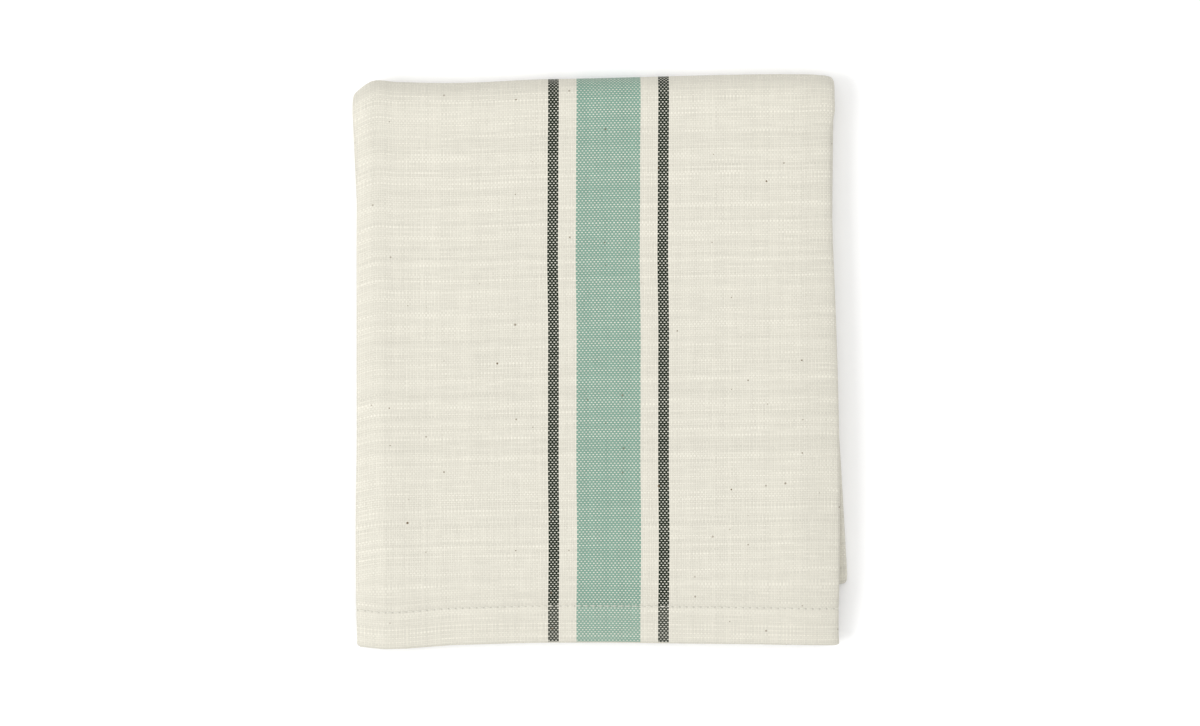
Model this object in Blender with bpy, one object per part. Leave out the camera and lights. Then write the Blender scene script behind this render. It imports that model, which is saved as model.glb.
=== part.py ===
"""Folded tea towel, modelled as the one sheet of cotton cloth that it is.

The cloth is folded in thirds across its width, which makes a strip three layers deep: an outer layer, the
left flap under it, and the right flap under both. The strip is folded in half along its length and then in
half again, so twelve layers lie on one another, a little apart. Metres, +Z up, with the origin in the middle
of the underside.

How the shape is worked out
- The strip's cross-section is drawn in x and in depth, which is measured inwards from the outer layer's face.
- Stations carry that cross-section along four panels and the three turns that join them. A panel lays depth
  straight up or straight down. A turn lays it along the radius of a half circle.
- A flap stops short of the far side fold. Past its selvedge the layers above settle, so the pile thins out
  towards both sides.
- The front panel and the one under it reach past the hidden fold. They make a flap of their own, which sinks
  a little, with the hems at its end.
"""

import math
from collections import namedtuple

import bmesh
import bpy
import numpy as np

MM = 0.001

# The cloth, laid out flat
CLOTH_WIDTH = 450.0 * MM
CLOTH_THICKNESS = 1.05 * MM
HEM_DEPTH = 12.5 * MM
HEM_THICKNESS = 1.50 * MM
HEM_STEP = 2.5 * MM            # length over which the cloth thickens into its hem

# The folded pile
LAYER_GAP = 0.30 * MM
CLOTH_MIDDLE_X = 3.3 * MM      # where the middle of the cloth's width lies once the sides are folded in
INNER_HEM_SET_BACK = 4.0 * MM  # how far the hidden hem stops short of the front hem
HEM_DROOP = 4.0 * MM           # how far the edge of the front hem sinks below the level pile
CROWN = 0.05                   # part by which the middle of the pile is loftier than its rim
CROWN_REACH_X = 84.0 * MM
CROWN_REACH_Y = 98.0 * MM

SHARE_AT_FOLD = 0.6            # part of a missing flap's thickness that the pile still keeps at a side fold

# Lines along the length, shared by all panels, as parts of the way from the hidden fold to the front fold
PANEL_PARTS = (0.0, 0.25, 0.5, 0.75, 1.0)
TURN_STEPS = 6

CLOTH_COLOUR = (0.787, 0.768, 0.672, 1.0)
CLOTH_ROUGHNESS = 0.92

# Lines that run from the near end to the far end, in millimetres, from the left side to the right. All layers
# share them, so their facets lie on one another. The table gives each line's x at either end, and the pile's
# outline on it: the fold at the far end, the hidden fold at the near end, and the edge of the front hem.
GuideRow = namedtuple("GuideRow", "near_x far_x front_fold hidden_fold front_hem")
LEFT_SIDE = GuideRow(near_x=-81.5, far_x=-81.5, front_fold=89.0, hidden_fold=-76.7, front_hem=-93.6)
RIGHT_FLAP_END = GuideRow(near_x=-70.2, far_x=-75.6, front_fold=92.1, hidden_fold=-76.3, front_hem=-94.4)
LEFT_FLAP_END = GuideRow(near_x=64.0, far_x=64.0, front_fold=94.6, hidden_fold=-74.1, front_hem=-93.1)
RIGHT_SIDE = GuideRow(near_x=81.5, far_x=81.5, front_fold=91.2, hidden_fold=-73.3, front_hem=-93.2)
GUIDES = (
    LEFT_SIDE,
    RIGHT_FLAP_END,
    GuideRow(near_x=-50.0, far_x=-50.0, front_fold=91.8, hidden_fold=-76.0, front_hem=-93.2),
    GuideRow(near_x=-25.0, far_x=-25.0, front_fold=92.6, hidden_fold=-75.6, front_hem=-92.4),
    GuideRow(near_x=30.0, far_x=30.0, front_fold=94.1, hidden_fold=-74.8, front_hem=-92.6),
    LEFT_FLAP_END,
    GuideRow(near_x=73.5, far_x=73.5, front_fold=94.2, hidden_fold=-73.7, front_hem=-93.3),
    RIGHT_SIDE,
)
NEAR_Y = -76.0 * MM
FAR_Y = 89.0 * MM

# Side folds of each pair of panels from the near end to the far end, in millimetres.
SideRow = namedtuple("SideRow", "y left right")
FRONT_SIDES = (
    SideRow(y=-94.0, left=-79.6, right=79.0),
    SideRow(y=-50.0, left=-79.9, right=79.1),
    SideRow(y=-10.0, left=-79.6, right=78.8),
    SideRow(y=25.0, left=-79.6, right=77.5),
    SideRow(y=66.0, left=-79.7, right=76.5),
    SideRow(y=86.0, left=-81.1, right=77.4),
)
BACK_SIDES = (
    SideRow(y=-73.0, left=-81.1, right=81.2),
    SideRow(y=-16.0, left=-79.4, right=78.7),
    SideRow(y=40.0, left=-79.2, right=77.0),
    SideRow(y=86.0, left=-81.1, right=77.4),
)
INNER_SIDES = (
    SideRow(y=-90.0, left=-78.9, right=78.3),
    SideRow(y=0.0, left=-79.2, right=78.0),
    SideRow(y=86.0, left=-81.1, right=77.4),
)

# Each panel's outer face lies at z = strips * depth of the strip + gaps * LAYER_GAP, and depth_sign tells
# whether depth runs up or down from there. Panels with a heading of -1 are run through from far to near.
Panel = namedtuple("Panel", "strips gaps depth_sign heading has_hem sides")
FRONT = Panel(4, 3, depth_sign=-1, heading=1, has_hem=True, sides=FRONT_SIDES)
BACK = Panel(0, 0, depth_sign=1, heading=-1, has_hem=False, sides=BACK_SIDES)
INNER_BACK = Panel(2, 1, depth_sign=-1, heading=1, has_hem=False, sides=BACK_SIDES)
INNER_FRONT = Panel(2, 2, depth_sign=1, heading=-1, has_hem=True, sides=INNER_SIDES)

# Each turn is a half circle. Its centre and its outer face's radius are counted like a panel's height. side
# is 1 at the far end and -1 at the near end, and start is 1 where the turn begins at its top.
Turn = namedtuple("Turn", "centre_strips centre_gaps radius_strips radius_gaps depth_sign side start sides")
FRONT_TURN = Turn(2, 1.5, 2, 1.5, depth_sign=-1, side=1, start=1, sides=FRONT_SIDES)
HIDDEN_TURN = Turn(1, 0.5, 1, 0.5, depth_sign=-1, side=-1, start=-1, sides=BACK_SIDES)
INNER_TURN = Turn(2, 1.5, 0, 0.5, depth_sign=1, side=1, start=-1, sides=INNER_SIDES)

# The way that the strip takes, from the front hem to the hidden hem
ROUTE = (FRONT, FRONT_TURN, BACK, HIDDEN_TURN, INNER_BACK, INNER_TURN, INNER_FRONT)

# Lines along the hems, by their distance from the front hem's edge. room is how far each layer of the hidden
# panel has made way there, for its own hem and for the front one.
HemLine = namedtuple("HemLine", "distance front_thickness hidden_thickness room")
HEM_SWELL = HEM_THICKNESS - CLOTH_THICKNESS
HIDDEN_HEM_END = INNER_HEM_SET_BACK + HEM_DEPTH
HEM_LINES = (
    HemLine(0.0, HEM_THICKNESS, HEM_THICKNESS, 2.2 * HEM_SWELL),
    HemLine(INNER_HEM_SET_BACK, HEM_THICKNESS, HEM_THICKNESS, 2.2 * HEM_SWELL),
    HemLine(HEM_DEPTH, HEM_THICKNESS, HEM_THICKNESS, 2.2 * HEM_SWELL),
    HemLine(HEM_DEPTH + HEM_STEP, CLOTH_THICKNESS, HEM_THICKNESS, 2.1 * HEM_SWELL),
    HemLine(HIDDEN_HEM_END, CLOTH_THICKNESS, HEM_THICKNESS, 1.1 * HEM_SWELL),
    HemLine(HIDDEN_HEM_END + HEM_STEP, CLOTH_THICKNESS, CLOTH_THICKNESS, 0.4 * HEM_SWELL),
)

# A station: the side folds' places, the cloth's thickness, and a function from x and depth to y and z
Station = namedtuple("Station", "left right thickness place")


def outline(column, x):
    """Return one of the guide table's three outlines at x, in metres."""
    end = "far_x" if column == "front_fold" else "near_x"
    rows_x = [getattr(row, end) * MM for row in GUIDES]
    rows_y = [getattr(row, column) * MM for row in GUIDES]
    return np.interp(x, rows_x, rows_y)


def guide_x(row, y):
    """Return the x of a guide line at y, in metres."""
    part = (y - NEAR_Y) / (FAR_Y - NEAR_Y)
    return (row.near_x + (row.far_x - row.near_x) * part) * MM


def side_folds(rows, y):
    """Return the left and right side folds' x at y, in metres."""
    rows_y = [row.y * MM for row in rows]
    left = np.interp(y, rows_y, [row.left * MM for row in rows])
    right = np.interp(y, rows_y, [row.right * MM for row in rows])
    return left, right


def left_flap_share(x):
    """Return how much of the left flap's thickness holds the pile apart at x: 1 up to its end, then less."""
    flap_end = guide_x(LEFT_FLAP_END, FAR_Y)
    past_end = np.maximum(x - flap_end, 0.0) / (guide_x(RIGHT_SIDE, FAR_Y) - flap_end)
    return 1.0 - (1.0 - SHARE_AT_FOLD) * past_end


def right_flap_share(x, y):
    """Return the same for the right flap, whose end runs a little askew."""
    flap_end = guide_x(RIGHT_FLAP_END, y)
    past_end = np.maximum(flap_end - x, 0.0) / (flap_end - guide_x(LEFT_SIDE, y))
    return 1.0 - (1.0 - SHARE_AT_FOLD) * past_end


def flap_layers(x, y):
    """Return how many flap layers hold the strip open at x, y."""
    return left_flap_share(x) + right_flap_share(x, y)


def strip_depth(x, y):
    """Return the depth of the three-layer strip at x, y."""
    return CLOTH_THICKNESS + (CLOTH_THICKNESS + LAYER_GAP) * flap_layers(x, y)


def loft(x, y):
    """Return the factor by which the pile stands taller at x, y than at its rim."""
    across = np.maximum(1.0 - (x / CROWN_REACH_X) ** 2, 0.0)
    along = np.maximum(1.0 - (y / CROWN_REACH_Y) ** 2, 0.0)
    return 1.0 + CROWN * across * along


def near_centre(x):
    """Return the y of the hidden turn's centre line at x."""
    hidden_fold = outline("hidden_fold", x)
    return hidden_fold + strip_depth(x, hidden_fold) + 0.5 * LAYER_GAP


def far_centre(x):
    """Return the y of the front turn's centre line at x."""
    front_fold = outline("front_fold", x)
    return front_fold - 2.0 * strip_depth(x, front_fold) - 1.5 * LAYER_GAP


def droop(x, y):
    """Return how far the flap with the hems sinks at x, y: more and more, from the hidden turn onwards."""
    reach = near_centre(x) - outline("front_hem", x)
    past_turn = np.maximum(near_centre(x) - y, 0.0) / reach
    return HEM_DROOP * past_turn ** 2


def panel_station(panel, y_of_x, thickness, room=0.0):
    """Return the station of a panel on the line y_of_x, lowered by room for each layer of the strip."""
    left, right = side_folds(panel.sides, float(y_of_x(CLOTH_MIDDLE_X)))

    def place(x, depth):
        y = y_of_x(x)
        face = panel.strips * strip_depth(x, y) + panel.gaps * LAYER_GAP
        face = face - room * (1.0 + flap_layers(x, y))
        return y, (face + panel.depth_sign * depth) * loft(x, y) - droop(x, y)

    return Station(left, right, thickness, place)


def hem_stations(panel):
    """Return the stations of a panel's end with its hem, from the hem's edge up to the hidden turn."""
    stations = []
    for line in HEM_LINES:
        def y_of_x(x, distance=line.distance):
            return outline("front_hem", x) + distance
        if panel is FRONT:
            stations.append(panel_station(panel, y_of_x, line.front_thickness))
        elif line.distance >= INNER_HEM_SET_BACK:
            stations.append(panel_station(panel, y_of_x, line.hidden_thickness, line.room))
    return stations


def panel_stations(panel):
    """Return all the stations of a panel, in the order in which the strip runs through it."""
    stations = hem_stations(panel) if panel.has_hem else []
    for part in PANEL_PARTS:
        def y_of_x(x, part=part):
            return (1.0 - part) * near_centre(x) + part * far_centre(x)
        stations.append(panel_station(panel, y_of_x, CLOTH_THICKNESS))
    return stations[::panel.heading]


def turn_stations(turn):
    """Return the stations inside a turn. Its first and last lines belong to the panels that it joins."""
    centre_line = far_centre if turn.side > 0 else near_centre
    left, right = side_folds(turn.sides, float(centre_line(CLOTH_MIDDLE_X)))

    def station(angle):
        def place(x, depth):
            y = centre_line(x)
            strip = strip_depth(x, y)
            centre = turn.centre_strips * strip + turn.centre_gaps * LAYER_GAP
            radius = turn.radius_strips * strip + turn.radius_gaps * LAYER_GAP + turn.depth_sign * depth
            height = centre + turn.start * radius * math.cos(angle)
            return y + turn.side * radius * math.sin(angle), height * loft(x, y)
        return Station(left, right, CLOTH_THICKNESS, place)

    return [station(math.pi * step / TURN_STEPS) for step in range(1, TURN_STEPS)]


def route_stations():
    """Return every station from the front hem to the hidden hem."""
    stations = []
    for section in ROUTE:
        if isinstance(section, Panel):
            stations += panel_stations(section)
        else:
            stations += turn_stations(section)
    return stations


def half_circle(centre_x, centre_depth, radius, side):
    """Return x and depth along a side fold's half circle, without its two ends.

    The left fold, side -1, runs from the flap up to the outer layer, and the right fold, side 1, back down.
    """
    angles = np.arange(1, TURN_STEPS) * math.pi / TURN_STEPS
    return centre_x + side * radius * np.sin(angles), centre_depth - side * radius * np.cos(angles)


def cross_section(station, y):
    """Return the strip's cross-section as x and depth of the cloth's face, then x and depth of its back.

    The points run from the left selvedge along the left flap, around the left fold, along the outer layer,
    around the right fold and along the right flap to the right selvedge.
    """
    thickness = station.thickness
    pitch = thickness + LAYER_GAP

    left_radius = thickness + 0.5 * LAYER_GAP
    left_x = station.left + left_radius
    right_span = pitch * (1.0 + left_flap_share(station.right)) + thickness
    right_radius = 0.5 * right_span
    right_x = station.right - right_radius

    # Half the cloth's width is the outer layer up to the fold, the fold itself, and the flap.
    half_width = 0.5 * CLOTH_WIDTH
    left_flap = half_width - (CLOTH_MIDDLE_X - left_x) - math.pi * (left_radius - 0.5 * thickness)
    right_flap = half_width - (right_x - CLOTH_MIDDLE_X) - math.pi * (right_radius - 0.5 * thickness)

    # The left flap ends before the last two of the guides between the folds, the right flap before the first.
    lines_x = [guide_x(row, y) for row in GUIDES[1:-1]]
    left_flap_x = np.array([left_x + left_flap, *reversed(lines_x[:-2]), left_x])
    outer_x = np.array([left_x, *lines_x, right_x])
    right_flap_x = np.array([right_x, *reversed(lines_x[1:]), right_x - right_flap])

    def side(left_flap_depth, left_bend, outer_depth, right_bend, right_flap_depth):
        left_turn_x, left_turn_depth = half_circle(left_x, left_radius, left_bend, -1)
        right_turn_x, right_turn_depth = half_circle(right_x, right_radius, right_bend, 1)
        x = np.concatenate([left_flap_x, left_turn_x, outer_x, right_turn_x, right_flap_x])
        right_depth = pitch * (1.0 + left_flap_share(right_flap_x)) + right_flap_depth
        right_depth[0] = right_radius + right_bend
        depth = np.concatenate([
            np.full(left_flap_x.shape, left_flap_depth), left_turn_depth,
            np.full(outer_x.shape, outer_depth), right_turn_depth, right_depth])
        return x, depth

    face = side(pitch + thickness, left_radius, 0.0, right_radius, thickness)
    back = side(pitch, left_radius - thickness, thickness, right_radius - thickness, 0.0)
    return face + back


def cloth_grids():
    """Return the points of the cloth's face and of its back, as arrays of stations by points across."""
    face_rows = []
    back_rows = []
    for station in route_stations():
        y, _ = station.place(np.array([CLOTH_MIDDLE_X]), np.zeros(1))
        face_x, face_depth, back_x, back_depth = cross_section(station, float(y[0]))
        face_rows.append(np.stack([face_x, *station.place(face_x, face_depth)], axis=1))
        back_rows.append(np.stack([back_x, *station.place(back_x, back_depth)], axis=1))
    return np.array(face_rows), np.array(back_rows)


def rest_on_origin(points):
    """Move the points so that the middle of the underside of their box is the origin."""
    low = points.min(axis=0)
    high = points.max(axis=0)
    return points - np.array([0.5 * (low[0] + high[0]), 0.5 * (low[1] + high[1]), low[2]])


def slants_up(across, along):
    """Tell whether a quad is split from its corner at low x towards high x as y, or z in a turn, rises.

    Layers that lie on one another are then split alike, whichever way the cloth runs through them.
    """
    rise = along[1] if abs(along[1]) > abs(along[2]) else along[2]
    return across[0] * rise > 0.0


def sheet_faces(face_grid):
    """Return the triangles of a closed sheet: its face, its back, and the rim that joins them."""
    rows, columns, _ = face_grid.shape

    def face(row, column):
        return row * columns + column

    def back(row, column):
        return rows * columns + face(row, column)

    faces = []
    for row in range(rows - 1):
        for column in range(columns - 1):
            corners = [(row, column), (row, column + 1), (row + 1, column + 1), (row + 1, column)]
            across = face_grid[row, column + 1] - face_grid[row, column]
            along = face_grid[row + 1, column] - face_grid[row, column]
            if not slants_up(across, along):
                corners = corners[1:] + corners[:1]
            for triangle in (corners[:3], [corners[0], *corners[2:]]):
                faces.append([face(*corner) for corner in triangle])
                faces.append([back(*corner) for corner in triangle[::-1]])

    rim = [(0, column) for column in range(columns - 1)]
    rim += [(row, columns - 1) for row in range(rows - 1)]
    rim += [(rows - 1, column) for column in range(columns - 1, 0, -1)]
    rim += [(row, 0) for row in range(rows - 1, 0, -1)]
    for near, far in zip(rim, rim[1:] + rim[:1]):
        faces.append([face(*near), back(*near), face(*far)])
        faces.append([back(*near), back(*far), face(*far)])
    return faces


def cloth_material():
    """Return the plain cotton material."""
    material = bpy.data.materials.new("cotton")
    material.use_nodes = True
    shader = material.node_tree.nodes["Principled BSDF"]
    shader.inputs["Base Color"].default_value = CLOTH_COLOUR
    shader.inputs["Roughness"].default_value = CLOTH_ROUGHNESS
    shader.inputs["Metallic"].default_value = 0.0
    return material


def make_towel():
    """Make the towel's object and link it to the scene."""
    face_grid, back_grid = cloth_grids()
    points = np.concatenate([face_grid.reshape(-1, 3), back_grid.reshape(-1, 3)])

    mesh = bpy.data.meshes.new("towel")
    mesh.from_pydata(rest_on_origin(points).tolist(), [], sheet_faces(face_grid))
    work = bmesh.new()
    work.from_mesh(mesh)
    bmesh.ops.recalc_face_normals(work, faces=work.faces)
    work.to_mesh(mesh)
    work.free()
    mesh.shade_smooth()
    mesh.set_sharp_from_angle(angle=math.radians(50.0))
    mesh.materials.append(cloth_material())

    towel = bpy.data.objects.new("towel", mesh)
    bpy.context.scene.collection.objects.link(towel)


def clear_scene():
    """Remove the scene's objects."""
    for thing in list(bpy.data.objects):
        bpy.data.objects.remove(thing, do_unlink=True)


clear_scene()
make_towel()
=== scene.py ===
"""The looks of a folded tea towel: its cloth, its stitched hems, and the studio it lies in.

The cloth is one thin sheet. It is folded in thirds across its width, which makes a strip three layers deep,
and the strip is folded in half along its length and then in half again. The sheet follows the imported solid's
layers, with a finer and softer surface, and its woven pattern is a material that reads the cloth's own
coordinates: millimetres from the left selvedge, and millimetres from the front hem's edge.
"""

import logging
import math
from collections.abc import Callable
from dataclasses import dataclass, field
from enum import Enum

import bpy
import numpy as np
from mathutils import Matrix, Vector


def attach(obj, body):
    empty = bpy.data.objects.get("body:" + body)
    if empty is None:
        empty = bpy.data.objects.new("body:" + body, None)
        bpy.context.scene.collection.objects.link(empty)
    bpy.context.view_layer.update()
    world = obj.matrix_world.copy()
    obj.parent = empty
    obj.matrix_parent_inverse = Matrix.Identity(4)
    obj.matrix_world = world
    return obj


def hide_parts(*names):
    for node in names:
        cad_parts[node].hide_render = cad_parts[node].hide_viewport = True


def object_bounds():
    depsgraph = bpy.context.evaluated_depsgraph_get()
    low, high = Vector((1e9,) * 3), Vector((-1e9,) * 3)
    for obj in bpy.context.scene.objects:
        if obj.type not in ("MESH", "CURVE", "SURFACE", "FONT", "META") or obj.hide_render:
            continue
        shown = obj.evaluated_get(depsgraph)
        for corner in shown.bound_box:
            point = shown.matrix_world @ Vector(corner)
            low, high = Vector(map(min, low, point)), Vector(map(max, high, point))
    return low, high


MM = 0.001
LOG = logging.getLogger("tea_towel")
Array = np.ndarray
Socket = bpy.types.NodeSocket
Feed = Socket | float

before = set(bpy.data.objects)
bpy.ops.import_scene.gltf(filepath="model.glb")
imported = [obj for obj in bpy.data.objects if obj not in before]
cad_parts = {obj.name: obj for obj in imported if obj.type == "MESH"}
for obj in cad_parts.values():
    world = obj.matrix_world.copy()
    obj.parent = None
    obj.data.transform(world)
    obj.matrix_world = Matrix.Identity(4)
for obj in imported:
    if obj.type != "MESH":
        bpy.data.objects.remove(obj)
CAD_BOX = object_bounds()


class Surface(Enum):
    """The two surfaces of the cloth."""

    FACE = 1
    BACK = -1


# --------------------------------------------------------------------------------------------------------
# Curves and soft shapes
# --------------------------------------------------------------------------------------------------------


def flowing(x: Array, knots_x: Array, knots_y: Array) -> Array:
    """Return a smooth curve through knots, at x.

    Between two knots it is a cubic whose slopes at the knots are those of the chords beside them. Past the
    end knots it stays level.

    Args:
        x: where to read the curve.
        knots_x: the knots' places, rising.
        knots_y: the knots' heights.

    Returns:
        The curve's height at each x.
    """
    slopes = np.gradient(knots_y, knots_x)
    inside = np.clip(x, knots_x[0], knots_x[-1])
    left = np.clip(np.searchsorted(knots_x, inside) - 1, 0, len(knots_x) - 2)
    span = knots_x[left + 1] - knots_x[left]
    t = (inside - knots_x[left]) / span
    rise = knots_y[left + 1] - knots_y[left]
    start = span * slopes[left]
    end = span * slopes[left + 1]
    bend = 3.0 * rise - 2.0 * start - end
    return knots_y[left] + t * start + t ** 2 * bend + t ** 3 * (start + end - 2.0 * rise)


def eased(x: Array, start: float | Array, end: float | Array) -> Array:
    """Return 0 before start, 1 after end and a smooth step between, which is 3tt - 2ttt for t from 0 to 1."""
    t = np.clip((x - start) / (end - start), 0.0, 1.0)
    return t * t * (3.0 - 2.0 * t)


def bell(distance: Array, width: float | Array) -> Array:
    """Return a bell curve, e to the minus of the distance over the width, squared."""
    return np.exp(-(distance / width) ** 2)


@dataclass(frozen=True)
class Crease:
    """A soft ridge, or a trough if its height is negative, along a straight line on the pile. Millimetres."""

    start: tuple[float, float]
    end: tuple[float, float]
    width: float
    height: float

    def rise(self, x: Array, y: Array) -> Array:
        """Work out the crease: a bell across its line, times a wider bell past the line's two ends.

        Args:
            x: the places' x.
            y: their y.

        Returns:
            The height at each place.
        """
        start = np.array(self.start) * MM
        along = np.array(self.end) * MM - start
        length = float(np.hypot(*along))
        along = along / length
        run = (x - start[0]) * along[0] + (y - start[1]) * along[1]
        aside = (y - start[1]) * along[0] - (x - start[0]) * along[1]
        past_end = np.maximum(np.maximum(-run, run - length), 0.0)
        return self.height * MM * bell(aside, self.width * MM) * bell(past_end, 1.6 * self.width * MM)


@dataclass(frozen=True)
class Ripples:
    """Faint, uneven waves all over the cloth: a sum of cosines whose directions and phases are drawn once."""

    seed: int
    count: int
    shortest: float
    longest: float
    height: float

    def rise(self, x: Array, y: Array) -> Array:
        """Add up the waves: each is a cosine of the distance along its own direction.

        Args:
            x: the places' x.
            y: their y.

        Returns:
            The height at each place.
        """
        draw = np.random.default_rng(self.seed)
        total = np.zeros(np.broadcast(x, y).shape)
        for _ in range(self.count):
            heading = draw.uniform(0.0, 2.0 * math.pi)
            wavelength = draw.uniform(self.shortest, self.longest) * MM
            phase = draw.uniform(0.0, 2.0 * math.pi)
            run = x * math.cos(heading) + y * math.sin(heading)
            total = total + np.cos(2.0 * math.pi * run / wavelength + phase)
        return total * self.height * MM / math.sqrt(self.count)


# --------------------------------------------------------------------------------------------------------
# The folded pile
# --------------------------------------------------------------------------------------------------------


@dataclass(frozen=True)
class Guide:
    """A line from the near end to the far end of the pile, with the pile's outline on it. Millimetres."""

    near_x: float
    far_x: float
    front_fold: float
    hidden_fold: float
    front_hem: float


@dataclass(frozen=True)
class Sides:
    """The places of the two side folds at y. Millimetres."""

    y: float
    left: float
    right: float


@dataclass(frozen=True)
class Panel:
    """A flat stretch of the strip. Its outer face lies strips strips and gaps gaps above the underside."""

    strips: float
    gaps: float
    depth_sign: int
    heading: int
    sides: tuple[Sides, ...]
    rows: int
    hem: str = ""


@dataclass(frozen=True)
class Turn:
    """A half circle of the strip, with its centre's height and its outer face's radius counted alike."""

    centre: tuple[float, float]
    radius: tuple[float, float]
    depth_sign: int
    end: int
    start: int
    sides: tuple[Sides, ...]
    rows: int


FRONT_SIDES = (
    Sides(-94.0, -79.5, 79.2),
    Sides(-84.0, -79.7, 78.9),
    Sides(-66.0, -79.9, 79.2),
    Sides(-45.0, -79.9, 79.2),
    Sides(-25.0, -79.6, 79.0),
    Sides(0.0, -79.6, 78.4),
    Sides(20.0, -79.6, 77.7),
    Sides(40.0, -79.6, 76.9),
    Sides(66.0, -79.6, 76.5),
    Sides(75.0, -79.9, 76.6),
    Sides(82.0, -80.6, 77.6),
    Sides(88.0, -81.2, 77.3),
)
BACK_SIDES = (
    Sides(-76.0, -80.2, 82.2),
    Sides(-60.0, -79.8, 81.3),
    Sides(-40.0, -79.4, 80.2),
    Sides(-16.0, -79.3, 78.7),
    Sides(40.0, -79.2, 76.9),
    Sides(88.0, -81.2, 77.3),
)
INNER_SIDES = (
    Sides(-92.0, -78.9, 78.2),
    Sides(-30.0, -79.2, 78.4),
    Sides(40.0, -79.2, 76.9),
    Sides(88.0, -81.2, 77.3),
)

# The front hem's panel, the turn over the far end, and so on to the hidden hem's panel
ROUTE = (
    Panel(4, 3, depth_sign=-1, heading=1, sides=FRONT_SIDES, rows=78, hem="front"),
    Turn((2, 1.5), (2, 1.5), depth_sign=-1, end=1, start=1, sides=FRONT_SIDES, rows=16),
    Panel(0, 0, depth_sign=1, heading=-1, sides=BACK_SIDES, rows=38),
    Turn((1, 0.5), (1, 0.5), depth_sign=-1, end=-1, start=-1, sides=BACK_SIDES, rows=12),
    Panel(2, 1, depth_sign=-1, heading=1, sides=BACK_SIDES, rows=30),
    Turn((2, 1.5), (0, 0.5), depth_sign=1, end=1, start=-1, sides=INNER_SIDES, rows=10),
    Panel(2, 2, depth_sign=1, heading=-1, sides=INNER_SIDES, rows=30, hem="hidden"),
)


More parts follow.
